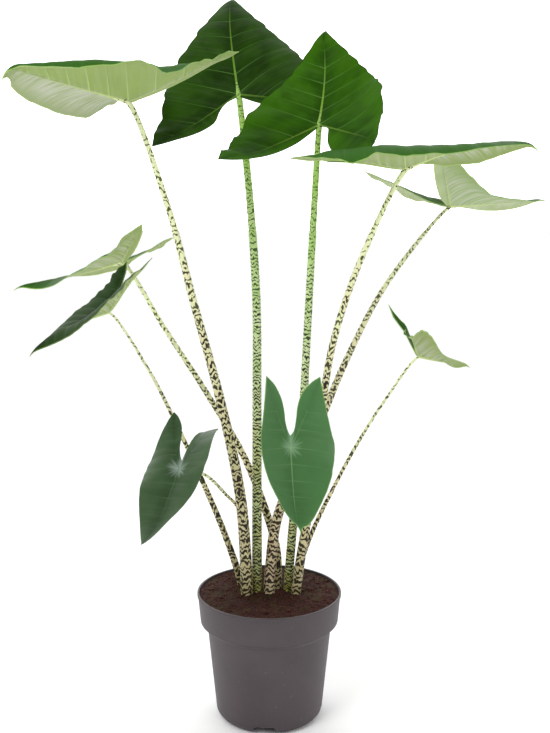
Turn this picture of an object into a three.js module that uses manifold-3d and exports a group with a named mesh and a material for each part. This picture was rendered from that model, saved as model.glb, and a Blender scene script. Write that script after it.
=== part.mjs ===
// Potted zebrina alocasia: a plastic nursery pot filled with soil, and ten leaves.
// Each leaf is a banded stalk that carries one arrow-shaped blade.
// Millimetres, +Z up. The origin is the centre of the pot's flat foot, the front is -Y.

import * as THREE from 'three';
import { mergeVertices } from 'three/addons/utils/BufferGeometryUtils.js';
import Module from 'manifold-3d';

const wasm = await Module();
wasm.setup();

// gap left between pieces that touch
const GAP = 0.3;

// pot
const POT_HEIGHT = 190;
const RIM_RADIUS = 107;
const COLLAR_HEIGHT = 43;
const COLLAR_FOOT_RADIUS = 102.5;
const NECK_DROP = 10;
const NECK_STEP = 5;
const BODY_TOP_RADIUS = 92;
const BODY_FOOT_RADIUS = 80;
const FOOT_ROUNDING = 14;
const WALL = 1.8;
const RIM_BEAD = 1.2;
const RIM_BEAD_HEIGHT = 4;
const POT_SEGMENTS = 36;

// drainage channels moulded up into the floor, wider at the foot than at their roof
const CHANNEL_COUNT = 4;
const CHANNEL_TURN = -5;
const CHANNEL_FOOT_WIDTH = 43;
const CHANNEL_ROOF_WIDTH = 28;
const CHANNEL_DEPTH = 13;
const CHANNEL_START = 26;
const DRAIN_RADIUS = 4.5;
const DRAIN_PLACE = 52;

// soil
const SOIL_HEIGHT = 188;
const SOIL_CROWN = 3;
const SOIL_LUMP = 1;
const SOIL_EDGE_DROP = 1.5;
const SOIL_RINGS = 5;

// stalks
const STALK_FOOT = 150;
const STALK_STEPS = 11;
const STALK_SIDES = 9;
const STALK_TAPER = 1.2;

// blades
const BLADE_THICKNESS = 1;
const MIDRIB_ROWS = 11;
const LOBE_ROWS = 6;
const MAIN_COLUMNS = 4;
const LOBE_COLUMNS = 2;
const HOOK_START = 0.86;
const ROLL_START = 0.75;
const ROLL_GAP = 0.17;
const ROLL_RISE = 0.2;
const SHOULDER = 1.6;
const LIFT_BLEND = 0.3;
const STEEPEST = 2.2;
const RIPPLES = 3.3;

const DEGREE = Math.PI / 180;

// colours
const POT_COLOUR = 0x544c50;
const SOIL_COLOUR = 0x2a1512;
const CREAM_STALK = 0xb9b27a;
const GREEN_STALK = 0x86a84a;
const DEEP_GREEN = 0x2f6a17;
const MID_GREEN = 0x3b7440;

// A leaf's blade is laid out flat, then bent.
// Flat: length from stalk to tip, width from midrib to margin beside the stalk, lobe length
// behind the stalk, spread of the lobe tips and bulge of the lobe margins as parts of the width,
// pinch of the gap's edge, depth of the gap between the lobes, and how much fuller the blade is
// towards its tip.
// Placed: junction with the stalk, heading and pitch of the midrib, roll about it.
// Bent: droop of the midrib, hook of its tip, twist along it, change of fold from stalk to tip,
// height of the ripples along the margin, and for each half its fold, margin curl, lobe lift,
// margin wave with its phase, how far its edge is rolled down along the tip and along the lobe,
// how far its lobe reaches, and the course of its inner margin as parts of the lobe's own breadth
// and length.
// Stalk: the points it passes through, its radius at the foot and at the top, and how quickly it
// tapers.
const LEAVES = [
  {
    name: 'upper_left',
    junction: [-191, -20, 896],
    heading: 207, pitch: 12, roll: 7,
    length: 177, width: 117, lobe: 112, spread: 1.1, bulge: 0.15, pinch: 0, gap: 4, full: 1.5,
    droop: 0, hook: -80, twist: 19, foldChange: -40, ripple: 2,
    left: { fold: 26, curl: -10, lift: 4, wave: -7, phase: 0.05, rolled: [20, 13] },
    right: { fold: 21, curl: -13, lift: 12, wave: -10, phase: -0.8, reach: 0.75 },
    stalk: [[-33, -14, 150], [-33, -14, 192], [-41, -15, 333], [-68, -16, 474], [-104, -17, 614],
      [-140, -19, 755]],
    radii: [9.6, 3.6], stalkColour: CREAM_STALK, bladeColour: MID_GREEN,
  },
  {
    name: 'top_rear',
    junction: [-46, 110, 920],
    heading: 108, pitch: 63, roll: -35,
    length: 219, width: 119, lobe: 76, spread: 1.13, bulge: 0.05, pinch: 0.09, gap: 4,
    droop: -14, hook: -32, twist: 14, foldChange: -30, ripple: 3,
    left: { fold: 7, curl: 1, lift: 7, wave: -2, phase: 0,
      inner: [[0.15, 0.13], [0.24, 0.31], [0.31, 0.54], [0.5, 0.73], [0.76, 0.87]] },
    right: { fold: -1, curl: -14, lift: 2, wave: 7, phase: 0 },
    stalk: [[-18, -4, 150], [-18, -4, 188], [-18, 14, 330], [-18, 36, 474], [-19, 60, 620],
      [-29, 84, 769]],
    radii: [7.5, 4.2], taper: 0.5, stalkColour: GREEN_STALK, bladeColour: DEEP_GREEN,
  },
  {
    name: 'top_front',
    junction: [70, 20, 868],
    heading: 75, pitch: 53, roll: -8,
    length: 154, width: 110, lobe: 109, spread: 1.1, bulge: 0.07, pinch: 0.09, gap: 4,
    droop: 19, hook: -79, twist: -5, foldChange: -18, ripple: 3,
    left: { fold: 13, curl: -2, lift: 3, wave: -6, phase: -0.2 },
    right: { fold: 8, curl: 13, lift: -6, wave: 8, phase: 0.15, reach: 0.74,
      inner: [[0.13, 0.13], [0.15, 0.33], [0.18, 0.52], [0.3, 0.76], [0.63, 0.94]] },
    stalk: [[27, 2, 150], [28, 2, 190], [38, 1, 325], [49, 3, 460], [56, 7, 595], [63, 12, 732]],
    radii: [6.8, 3.8], taper: 0.6, stalkColour: GREEN_STALK, bladeColour: DEEP_GREEN,
  },
  {
    name: 'left_front',
    junction: [-216, -80, 614],
    heading: 200, pitch: -16, roll: 5,
    length: 120, width: 63, lobe: 58, spread: 1.25, bulge: 0.12, pinch: 0.01, gap: 4,
    droop: -11, hook: -16, twist: -18, foldChange: -62, ripple: 1.2,
    left: { fold: 33, curl: -15, lift: -5, wave: -1.5, phase: -0.15 },
    right: { fold: 27, curl: -3, lift: 1, wave: -1.5, phase: 0 },
    stalk: [[-41, 30, 150], [-43, 29, 188], [-67, 20, 271], [-98, 7, 355], [-131, -10, 439],
      [-167, -38, 526]],
    radii: [6, 1.5], stalkColour: CREAM_STALK, bladeColour: DEEP_GREEN,
  },
  {
    name: 'left_rear',
    junction: [-225, 110, 672],
    heading: 159, pitch: -15, roll: -4,
    length: 205, width: 55, lobe: 68, spread: 1.03, bulge: 0.1, pinch: 0.15, gap: 4,
    droop: 3, hook: -22, twist: -43, foldChange: -53, ripple: 2,
    left: { fold: 39, curl: -18, lift: -1, wave: -7, phase: -0.05 },
    right: { fold: 6, curl: -12, lift: 12, wave: 10.5, phase: -0.15 },
    stalk: [[12, 9, 150], [12, 9, 188], [11, 27, 240], [-1, 45, 284], [-38, 59, 378],
      [-95, 75, 474], [-158, 92, 569]],
    radii: [7.2, 2.9], stalkColour: CREAM_STALK, bladeColour: MID_GREEN,
  },
  {
    name: 'small_right',
    junction: [229, 90, 529],
    heading: -13, pitch: -11, roll: -23,
    length: 78, width: 50, lobe: 37, spread: 1.41, bulge: 0.09, pinch: -0.05, gap: 4,
    droop: 3, hook: -34, twist: -20, foldChange: -45, ripple: 1,
    left: { fold: 38, curl: -5, lift: -9, wave: -16.5, phase: 0 },
    right: { fold: 24, curl: -4, lift: 29, wave: 14, phase: 0.1 },
    stalk: [[40, 28, 150], [42, 30, 197], [64, 39, 264], [96, 50, 330], [133, 63, 397],
      [176, 76, 463]],
    radii: [4.2, 1.8], stalkColour: CREAM_STALK, bladeColour: MID_GREEN,
  },
  {
    name: 'upper_right',
    junction: [184, -50, 805],
    heading: -18, pitch: 21, roll: 12,
    length: 183, width: 124, lobe: 114, spread: 0.84, bulge: 0.15, pinch: -0.03, gap: 4,
    droop: -13, hook: -53, twist: -4, foldChange: -58, ripple: 2,
    left: { fold: 14, curl: -23, lift: -5, wave: 5.5, phase: 0.15 },
    right: { fold: 41, curl: -26, lift: -4, wave: 5.5, phase: 0.05 },
    stalk: [[38, -10, 150], [40, -10, 194], [57, -16, 316], [72, -23, 438], [89, -31, 561],
      [127, -40, 683]],
    radii: [7.6, 3.6], stalkColour: CREAM_STALK, bladeColour: MID_GREEN,
  },
  {
    name: 'right_rear',
    junction: [280, 150, 756],
    heading: 28, pitch: 3, roll: -7,
    length: 202, width: 78, lobe: 83, spread: 1.39, bulge: 0.07, pinch: 0.13, gap: 4,
    droop: 1, hook: -24, twist: -6, foldChange: -71, ripple: 2,
    left: { fold: 32, curl: -13, lift: -4, wave: -8, phase: -0.05 },
    right: { fold: 34, curl: -14, lift: 2, wave: 12, phase: -0.3 },
    stalk: [[0, -9, 150], [0, -8, 189], [2, -4, 226], [13, 12, 301], [67, 43, 414],
      [117, 76, 526], [181, 112, 640]],
    radii: [9.2, 2.6], stalkColour: CREAM_STALK, bladeColour: MID_GREEN,
  },
  {
    name: 'low_left',
    junction: [-123, -90, 399],
    heading: -108, pitch: -41, roll: -11,
    length: 157, width: 49, lobe: 88, spread: 0.7, bulge: 0, pinch: 0.2, gap: 14,
    droop: 19, hook: 7, twist: 6, foldChange: 0, ripple: 1.2,
    left: { fold: 36, curl: -3, lift: -21, wave: 11.5, phase: -0.15,
      inner: [[0.03, 0.31], [0.07, 0.5], [0.15, 0.68], [0.32, 0.86], [0.66, 0.95]] },
    right: { fold: 5, curl: -13, lift: -3, wave: -14.5, phase: -0.1,
      inner: [[0.13, 0.25], [0.27, 0.41], [0.36, 0.61], [0.51, 0.8], [0.76, 0.94]] },
    stalk: [[-22, 24, 150], [-25, 22, 190], [-35, 14, 232], [-43, 2, 310], [-62, -22, 343],
      [-92, -66, 386]],
    radii: [3, 2], stalkColour: CREAM_STALK, bladeColour: MID_GREEN,
  },
  {
    name: 'low_front',
    junction: [30, -95, 431],
    heading: -84, pitch: -67, roll: 1,
    length: 149, width: 65, lobe: 97, spread: 0.65, bulge: -0.09, pinch: 0.29, gap: 16,
    droop: 40, hook: -53, twist: -5, foldChange: -4, ripple: 1.2,
    left: { fold: 6, curl: -16, lift: 11, wave: 17, phase: 0.45,
      inner: [[0.13, 0.24], [0.21, 0.4], [0.27, 0.58], [0.42, 0.76], [0.72, 0.92]] },
    right: { fold: 37, curl: 12, lift: 4, wave: -6, phase: 0.1,
      inner: [[0.1, 0.24], [0.18, 0.36], [0.22, 0.53], [0.34, 0.71], [0.62, 0.89]] },
    stalk: [[33, 24, 150], [34, 22, 200], [39, 17, 280], [51, -8, 345], [50, -30, 378],
      [44, -62, 407]],
    radii: [3, 2], stalkColour: CREAM_STALK, bladeColour: MID_GREEN,
  },
];

function toSolid(geometry) {
  const bare = geometry.clone();
  bare.deleteAttribute('normal');
  bare.deleteAttribute('uv');
  const merged = mergeVertices(bare, 1e-4);
  const corners = merged.index.array;
  const whole = [];
  for (let i = 0; i < corners.length; i += 3) {
    const [a, b, c] = corners.slice(i, i + 3);
    if (a !== b && b !== c && c !== a) {
      whole.push(a, b, c);
    }
  }
  return new wasm.Manifold(new wasm.Mesh({
    numProp: 3,
    vertProperties: new Float32Array(merged.attributes.position.array),
    triVerts: new Uint32Array(whole),
  }));
}

function toGeometry(solid) {
  const mesh = solid.getMesh();
  const geometry = new THREE.BufferGeometry();
  geometry.setAttribute('position', new THREE.BufferAttribute(mesh.vertProperties, 3));
  geometry.setIndex(new THREE.BufferAttribute(mesh.triVerts, 1));
  return geometry;
}

function largestPiece(solid) {
  const pieces = solid.decompose();
  return pieces.sort((a, b) => b.volume() - a.volume())[0];
}

function turned(profile, segments) {
  const geometry = new THREE.LatheGeometry(profile.map(([r, z]) => new THREE.Vector2(r, z)), segments);
  return geometry.rotateX(Math.PI / 2);
}

function named(name, geometry, colour, roughness) {
  const material = new THREE.MeshStandardMaterial({ color: colour, roughness, metalness: 0 });
  const mesh = new THREE.Mesh(geometry, material);
  mesh.name = name;
  return mesh;
}

function footArc(radius, rounding, lift) {
  const points = [];
  const steps = 3;
  for (let i = 0; i <= steps; i += 1) {
    const angle = (i / steps) * Math.PI / 2;
    const x = radius - rounding + rounding * Math.sin(angle);
    points.push([x, lift + rounding - rounding * Math.cos(angle)]);
  }
  return points;
}

function potOutside() {
  const collarFoot = POT_HEIGHT - COLLAR_HEIGHT;
  const neck = collarFoot - NECK_DROP;
  return [
    [0, 0],
    ...footArc(BODY_FOOT_RADIUS, FOOT_ROUNDING, 0),
    [BODY_TOP_RADIUS, neck],
    [BODY_TOP_RADIUS + NECK_STEP, neck + NECK_STEP],
    [COLLAR_FOOT_RADIUS - 1, collarFoot - 1],
    [COLLAR_FOOT_RADIUS, collarFoot + 1],
    [RIM_RADIUS - RIM_BEAD, POT_HEIGHT - RIM_BEAD_HEIGHT - 1],
    [RIM_RADIUS, POT_HEIGHT - RIM_BEAD_HEIGHT],
    [RIM_RADIUS, POT_HEIGHT - 1],
    [RIM_RADIUS - 1, POT_HEIGHT],
  ];
}

function potInside() {
  const collarFoot = POT_HEIGHT - COLLAR_HEIGHT;
  const neck = collarFoot - NECK_DROP;
  return [
    [0, WALL],
    ...footArc(BODY_FOOT_RADIUS - WALL, FOOT_ROUNDING - WALL, WALL),
    [BODY_TOP_RADIUS - WALL, neck],
    [BODY_TOP_RADIUS + NECK_STEP - WALL, neck + NECK_STEP + 1],
    [COLLAR_FOOT_RADIUS - WALL, collarFoot + 2],
    [RIM_RADIUS - RIM_BEAD - WALL, POT_HEIGHT - 3],
    [RIM_RADIUS - RIM_BEAD - WALL, POT_HEIGHT],
  ];
}

// A radial bar with a trapezoid section, standing on the foot plane.
function channelBar(start, end, grow) {
  const outline = new THREE.Shape();
  const foot = CHANNEL_FOOT_WIDTH / 2 + grow;
  const roof = CHANNEL_ROOF_WIDTH / 2 + grow;
  outline.moveTo(-foot, -1);
  outline.lineTo(foot, -1);
  outline.lineTo(roof, CHANNEL_DEPTH + grow);
  outline.lineTo(-roof, CHANNEL_DEPTH + grow);
  outline.closePath();
  const bar = new THREE.ExtrudeGeometry(outline, { depth: end - start, bevelEnabled: false });
  bar.rotateX(Math.PI / 2);
  return bar.translate(0, -start, 0);
}

function channels(start, end, grow) {
  const bars = [];
  for (let i = 0; i < CHANNEL_COUNT; i += 1) {
    const bar = channelBar(start, end, grow);
    bar.rotateZ(CHANNEL_TURN * DEGREE + (i * 2 * Math.PI) / CHANNEL_COUNT);
    bars.push(toSolid(bar));
  }
  return wasm.Manifold.union(bars);
}

function drains() {
  const holes = [];
  for (let i = 0; i < CHANNEL_COUNT; i += 1) {
    const angle = CHANNEL_TURN * DEGREE + (i * 2 * Math.PI) / CHANNEL_COUNT;
    const hole = new THREE.CylinderGeometry(DRAIN_RADIUS, DRAIN_RADIUS, 3 * CHANNEL_DEPTH, 12);
    hole.rotateX(Math.PI / 2);
    hole.translate(DRAIN_PLACE * Math.sin(angle), -DRAIN_PLACE * Math.cos(angle), CHANNEL_DEPTH);
    holes.push(toSolid(hole));
  }
  return wasm.Manifold.union(holes);
}

function pot() {
  const outside = potOutside();
  const inside = potInside();
  const shell = toSolid(turned([...outside, ...inside.slice().reverse()], POT_SEGMENTS));
  const envelope = toSolid(turned([...outside, [0, POT_HEIGHT]], POT_SEGMENTS));
  const reach = RIM_RADIUS;
  const roofs = channels(CHANNEL_START - WALL, reach, WALL).intersect(envelope);
  return shell.add(roofs).subtract(channels(CHANNEL_START, reach, 0)).subtract(drains());
}

// The soil's top swells towards the stalks, with a few low lumps.
function soilHeight(x, y) {
  const r = Math.hypot(x, y) / RIM_RADIUS;
  const lumps = Math.sin(x * 0.11 + 1) * Math.cos(y * 0.13) + 0.6 * Math.sin(x * 0.05 - y * 0.19);
  const crown = SOIL_CROWN * (1 - r * r) - SOIL_EDGE_DROP;
  return SOIL_HEIGHT + crown + SOIL_LUMP * lumps * (1 - r ** 6);
}

// Radius of the pot's inside at a height of its collar.
function collarInside(z) {
  const collarFoot = POT_HEIGHT - COLLAR_HEIGHT;
  const part = (z - collarFoot) / COLLAR_HEIGHT;
  return THREE.MathUtils.lerp(COLLAR_FOOT_RADIUS, RIM_RADIUS - RIM_BEAD, part) - WALL;
}

function soil(cutters) {
  const wall = potInside().slice(1, -2).map(([r, z]) => [r - GAP, z + GAP]);
  const edge = SOIL_HEIGHT - SOIL_EDGE_DROP;
  const topRadius = collarInside(edge) - 2 * GAP;
  const profile = [[0, WALL + GAP], ...wall, [topRadius, edge]];
  for (let i = SOIL_RINGS - 1; i >= 0; i -= 1) {
    profile.push([(topRadius * i) / SOIL_RINGS, SOIL_HEIGHT]);
  }
  const geometry = turned(profile, POT_SEGMENTS);
  const place = geometry.attributes.position;
  for (let i = 0; i < place.count; i += 1) {
    if (place.getZ(i) > edge - GAP) {
      place.setZ(i, soilHeight(place.getX(i), place.getY(i)));
    }
  }
  const floor = channels(CHANNEL_START - WALL - GAP, RIM_RADIUS, WALL + GAP);
  return toSolid(geometry).subtract(floor).subtract(cutters);
}

function stalkCurve(leaf) {
  const points = [...leaf.stalk, leaf.junction];
  return new THREE.CatmullRomCurve3(points.map((p) => new THREE.Vector3(...p)));
}

// A cylinder bent along the stalk's curve and tapered to its top.
function stalkSolid(leaf, grow, foot) {
  const curve = stalkCurve(leaf);
  const geometry = new THREE.CylinderGeometry(1, 1, 1, STALK_SIDES, STALK_STEPS);
  const place = geometry.attributes.position;
  const [footRadius, topRadius] = leaf.radii;
  const taper = leaf.taper ?? STALK_TAPER;
  const side = new THREE.Vector3();
  const front = new THREE.Vector3();
  for (let i = 0; i < place.count; i += 1) {
    const along = place.getY(i) + 0.5;
    const centre = curve.getPointAt(along);
    const tangent = curve.getTangentAt(along);
    front.crossVectors(tangent, new THREE.Vector3(1, 0, 0)).normalize();
    side.crossVectors(tangent, front);
    const radius = topRadius + (footRadius - topRadius) * (1 - along) ** taper + grow;
    centre.addScaledVector(side, place.getX(i) * radius);
    centre.addScaledVector(front, place.getZ(i) * radius);
    if (along === 0) {
      centre.z = foot;
    }
    place.setXYZ(i, centre.x, centre.y, centre.z);
  }
  return toSolid(geometry);
}

function spread(points, count) {
  const curve = new THREE.CatmullRomCurve3(
    points.map(([x, y]) => new THREE.Vector3(x, y, 0)), false, 'catmullrom', 0.5);
  return curve.getSpacedPoints(count - 1);
}

// Flat outline of one half: outer margin from tip to lobe tip, and the lobe's inner margin.
function outerMargin(leaf) {
  const { length, width, lobe, spread: tipSpread, bulge, full = 0 } = leaf;
  const front = [[0, 1], [0.045, 0.94], [0.17, 0.84], [0.42, 0.65], [0.7, 0.42], [0.91, 0.17]];
  const points = front.map(([x, y]) => [width * x * (1 + full * y ** 4), length * y]);
  for (const t of [0, 0.28, 0.55, 0.8, 0.93, 1]) {
    const x = 1 + (tipSpread - 1) * t ** 1.5 + bulge * Math.sin(Math.PI * t ** 0.9);
    points.push([width * x, -lobe * (0.04 + 0.96 * t)]);
  }
  return points;
}

function innerMargin(leaf, half) {
  const { lobe, pinch, gap } = leaf;
  const reach = leaf.width * leaf.spread;
  if (half.inner) {
    const course = half.inner.map(([x, y]) => [reach * x, -lobe * y]);
    return [[0, -gap], ...course, [reach, -lobe]];
  }
  return [
    [0, -gap],
    [reach * (0.15 - pinch / 2), -0.17 * lobe - gap / 2],
    [reach * (0.34 - pinch), -0.38 * lobe],
    [reach * (0.6 - pinch), -0.64 * lobe],
    [reach * (0.8 - pinch / 2), -0.86 * lobe],
    [reach, -lobe],
  ];
}

function lobeRib(leaf) {
  const reach = leaf.width * leaf.spread;
  const places = [[0, 0], [0.26, 0.22], [0.52, 0.46], [0.78, 0.73], [1, 1]];
  return places.map(([x, y]) => [reach * x, -leaf.lobe * y]);
}

// Bends a flat point of the blade into place.
function bend(leaf, x, flatY) {
  const half = x < 0 ? leaf.left : leaf.right;
  const y = flatY < 0 ? flatY * (half.reach ?? 1) : flatY;
  const across = Math.abs(x);
  const w = across / leaf.width;
  const t = y / leaf.length;
  const slope = half.fold + leaf.foldChange * THREE.MathUtils.clamp(t, -0.7, 1) + half.curl * w * w;
  const wave = half.wave * w * w * Math.cos(2 * Math.PI * (t - half.phase));
  const reached = y >= 0 ? t : y / leaf.lobe;
  const fade = 1 - Math.abs(reached) ** 3;
  const ripple = leaf.ripple * fade * w ** 3 * Math.sin(2 * Math.PI * RIPPLES * t + (x < 0 ? 0 : 2));
  const shoulder = Math.max(1 - Math.max(t, 0) ** SHOULDER, 0.01);
  const edge = THREE.MathUtils.clamp((w / shoulder - ROLL_START) / (1 - ROLL_START), 0, 1);
  const [front, back] = half.rolled ?? [0, 0];
  const fromGap = t - ROLL_GAP;
  const depth = (fromGap > 0 ? front : back) * THREE.MathUtils.smoothstep(Math.abs(fromGap), 0, ROLL_RISE);
  const rolled = depth * fade * edge * edge;
  const reach = across * Math.cos(slope * DEGREE) * (x < 0 ? -1 : 1);
  const rise = across * Math.sin(slope * DEGREE) + wave + ripple - rolled;
  const twist = leaf.twist * t * DEGREE;
  const sideways = reach * Math.cos(twist) + rise * Math.sin(twist);
  const up = rise * Math.cos(twist) - reach * Math.sin(twist);

  // the midrib droops towards its tip, and the lobes lift behind the stalk
  const middle = (leaf.left.lift + leaf.right.lift) / 2;
  const lift = middle + THREE.MathUtils.smoothstep(w, 0, LIFT_BLEND) * (half.lift - middle);
  const bendTotal = (y >= 0 ? leaf.droop : -lift) * DEGREE;
  const straight = Math.min(reached, HOOK_START);
  const lean = bendTotal * straight * straight;
  const kept = Math.min(y, HOOK_START * leaf.length);
  const hooked = Math.max(0, (t - HOOK_START) / (1 - HOOK_START));
  const bent = Math.min(Math.abs(reached), HOOK_START);
  const tangent = THREE.MathUtils.clamp(3 * bendTotal * bent * bent, -STEEPEST, STEEPEST);
  const hookTurn = tangent + 0.6 * leaf.hook * DEGREE * hooked;
  const forward = kept * Math.cos(lean) + (y - kept) * Math.cos(hookTurn);
  const height = kept * Math.sin(lean) + (y - kept) * Math.sin(hookTurn);
  const pitch = tangent + leaf.hook * DEGREE * hooked;
  return new THREE.Vector3(
    sideways, forward - up * Math.sin(pitch), height + up * Math.cos(pitch));
}

// Matrix that carries the bent blade to its stalk.
function bladePlace(leaf) {
  const heading = leaf.heading * DEGREE;
  const pitch = leaf.pitch * DEGREE;
  const roll = leaf.roll * DEGREE;
  const forward = new THREE.Vector3(
    Math.cos(heading) * Math.cos(pitch), Math.sin(heading) * Math.cos(pitch), Math.sin(pitch));
  const level = new THREE.Vector3(Math.sin(heading), -Math.cos(heading), 0);
  const above = new THREE.Vector3().crossVectors(level, forward);
  const right = level.clone().multiplyScalar(Math.cos(roll)).addScaledVector(above, -Math.sin(roll));
  const up = above.clone().multiplyScalar(Math.cos(roll)).addScaledVector(level, Math.sin(roll));
  const matrix = new THREE.Matrix4().makeBasis(right, forward, up);
  return matrix.setPosition(...leaf.junction);
}

// Middle surface of the blade: rows that run from midrib and lobe rib to the outer margin, and
// shorter rows from the lobe rib to the gap between the lobes.
function bladeSheet(leaf) {
  const points = [];
  const triangles = [];
  const known = new Map();
  const matrix = bladePlace(leaf);

  function pointAt(x, y) {
    const key = `${x.toFixed(3)} ${y.toFixed(3)}`.replace('-0.000', '0.000');
    if (!known.has(key)) {
      known.set(key, points.length);
      points.push(bend(leaf, x, y).applyMatrix4(matrix));
    }
    return known.get(key);
  }

  function addRows(inner, outer, columns, sign, flip) {
    const rows = inner.map((from, i) => {
      const row = [];
      for (let k = 0; k <= columns; k += 1) {
        const at = from.clone().lerp(outer[i], k / columns);
        row.push(pointAt(sign * at.x, at.y));
      }
      return row;
    });
    for (let i = 0; i + 1 < rows.length; i += 1) {
      for (let k = 0; k < columns; k += 1) {
        const [a, b, c, d] = [rows[i][k], rows[i + 1][k], rows[i + 1][k + 1], rows[i][k + 1]];
        for (const corner of [[a, b, c], [a, c, d]]) {
          if (new Set(corner).size === 3) {
            triangles.push(flip ? corner.reverse() : corner);
          }
        }
      }
    }
  }

  const midrib = spread([[0, leaf.length], [0, leaf.length / 2], [0, 0]], MIDRIB_ROWS);
  const rib = spread(lobeRib(leaf), LOBE_ROWS + 1);
  const spine = [...midrib, ...rib.slice(1)];
  const spineLengths = [0];
  for (let i = 1; i < spine.length; i += 1) {
    spineLengths.push(spineLengths[i - 1] + spine[i].distanceTo(spine[i - 1]));
  }
  const total = spineLengths[spine.length - 1];
  const margin = new THREE.CatmullRomCurve3(
    outerMargin(leaf).map(([x, y]) => new THREE.Vector3(x, y, 0)), false, 'catmullrom', 0.5);
  const outer = spineLengths.map((s) => margin.getPointAt(s / total));
  for (const sign of [1, -1]) {
    const inner = spread(innerMargin(leaf, sign < 0 ? leaf.left : leaf.right), LOBE_ROWS + 1);
    addRows(spine, outer, MAIN_COLUMNS, sign, sign < 0);
    addRows(rib, inner, LOBE_COLUMNS, sign, sign > 0);
  }
  return { points, triangles };
}

// The sheet thickened evenly to both sides, with its rim closed.
function bladeSolid(leaf, thickness) {
  const { points, triangles } = bladeSheet(leaf);
  const normals = points.map(() => new THREE.Vector3());
  for (const [a, b, c] of triangles) {
    const edge = points[b].clone().sub(points[a]);
    const face = edge.cross(points[c].clone().sub(points[a]));
    for (const i of [a, b, c]) {
      normals[i].add(face);
    }
  }
  const upper = points.map((p, i) => p.clone().addScaledVector(normals[i].normalize(), thickness / 2));
  const lower = points.map((p, i) => p.clone().addScaledVector(normals[i], -thickness / 2));
  const count = points.length;
  const index = [];
  const edges = new Map();
  for (const [a, b, c] of triangles) {
    index.push(a, b, c, a + count, c + count, b + count);
    for (const [from, to] of [[a, b], [b, c], [c, a]]) {
      edges.set(`${from} ${to}`, [from, to]);
    }
  }
  for (const [from, to] of edges.values()) {
    if (!edges.has(`${to} ${from}`)) {
      index.push(to, from, from + count, to, from + count, to + count);
    }
  }
  const geometry = new THREE.BufferGeometry();
  geometry.setFromPoints([...upper, ...lower]);
  geometry.setIndex(index);
  return toSolid(geometry);
}

const plant = new THREE.Group();
plant.name = 'potted_zebrina_alocasia';

const holes = [];
for (const leaf of LEAVES) {
  const blade = bladeSolid(leaf, BLADE_THICKNESS);
  const clearance = bladeSolid({ ...leaf, gap: leaf.gap + 3 * GAP }, BLADE_THICKNESS + 2 * GAP);
  const stalk = largestPiece(stalkSolid(leaf, 0, STALK_FOOT).subtract(clearance));
  holes.push(stalkSolid(leaf, GAP, STALK_FOOT - GAP));
  plant.add(named(`stalk_${leaf.name}`, toGeometry(stalk), leaf.stalkColour, 0.55));
  plant.add(named(`blade_${leaf.name}`, toGeometry(blade), leaf.bladeColour, 0.5));
}
plant.add(named('soil', toGeometry(soil(wasm.Manifold.union(holes))), SOIL_COLOUR, 1));
plant.add(named('pot', toGeometry(pot()), POT_COLOUR, 0.6));

export default plant;
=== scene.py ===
import math
import random
from functools import partial
from types import SimpleNamespace

import bpy
import numpy as np
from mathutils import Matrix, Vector


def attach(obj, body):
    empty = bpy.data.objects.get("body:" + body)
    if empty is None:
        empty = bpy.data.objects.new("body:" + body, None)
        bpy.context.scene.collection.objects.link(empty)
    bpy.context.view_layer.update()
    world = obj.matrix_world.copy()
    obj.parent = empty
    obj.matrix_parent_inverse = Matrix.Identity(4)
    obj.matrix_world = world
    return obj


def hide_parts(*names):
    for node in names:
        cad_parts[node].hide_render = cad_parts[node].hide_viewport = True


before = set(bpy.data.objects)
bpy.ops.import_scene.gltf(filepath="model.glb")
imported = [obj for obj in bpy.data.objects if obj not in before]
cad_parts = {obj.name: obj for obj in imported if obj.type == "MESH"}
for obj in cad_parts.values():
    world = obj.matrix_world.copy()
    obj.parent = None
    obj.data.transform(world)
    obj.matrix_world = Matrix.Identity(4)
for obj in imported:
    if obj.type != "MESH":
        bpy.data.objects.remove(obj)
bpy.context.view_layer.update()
bpy.ops.object.select_all(action="DESELECT")

MM = 0.001
BODY = "root"
# corners that lie closer together than this are merged, in blades than BLADE_MERGE
MERGE = 0.01

# what the photograph gives for the camera, in metres, radians and pixels
CAMERA_PLACE = (0.0086, -1.4, 0.746)
CAMERA_TILT = 0.155
FOCAL_LENGTH = 985
PICTURE_HEIGHT = 733
SENSOR = 36

# studio: each light's place, size and power, and where both look
LIGHTS = {"key": ((-1.6, -1.8, 2.4), 1.4, 45), "fill": ((1.9, -1.7, 1.2), 1.8, 16)}
LIGHT_AIM = (0, 0, 0.5)
FLOOR_SIZE = 80

# pot
POT_HEIGHT = 190
RIM_RADIUS = 107
COLLAR_HEIGHT = 43
COLLAR_FOOT_RADIUS = 102.5
NECK_DROP = 10
NECK_STEP = 5
BODY_TOP_RADIUS = 92
BODY_FOOT_RADIUS = 80
FOOT_ROUNDING = 14
WALL = 1.8
RIM_BEAD = 1.2
RIM_BEAD_HEIGHT = 4
NECK_ROUNDING = 2
BEAD_ROUNDING = 0.6
POT_STEPS = 128
POT_CREASE = 32

# drainage channels under the floor
CHANNEL_COUNT = 4
CHANNEL_TURN = -5
CHANNEL_FOOT_WIDTH = 43
CHANNEL_ROOF_WIDTH = 28
CHANNEL_DEPTH = 13
CHANNEL_START = 26
DRAIN_RADIUS = 4.5
DRAIN_PLACE = 52

# soil
SOIL_HEIGHT = 188
SOIL_CROWN = 3
SOIL_LUMP = 1
SOIL_EDGE_DROP = 1.5
SOIL_DEPTH = 16
SOIL_RINGS = 90
SOIL_STEPS = 240
# size and depth of each layer of roughness, and how far it fades out beside the pot
SOIL_LAYERS = ((14, 0.9), (6, 0.8), (2.6, 0.7), (1.5, 0.45))
SOIL_FADE = 4
CRUMB_COUNT = 620
CRUMB_SIZES = (0.7, 2.6)
CRUMB_KNOBS = 0.22
CRUMB_RAISED = 0.15

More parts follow.
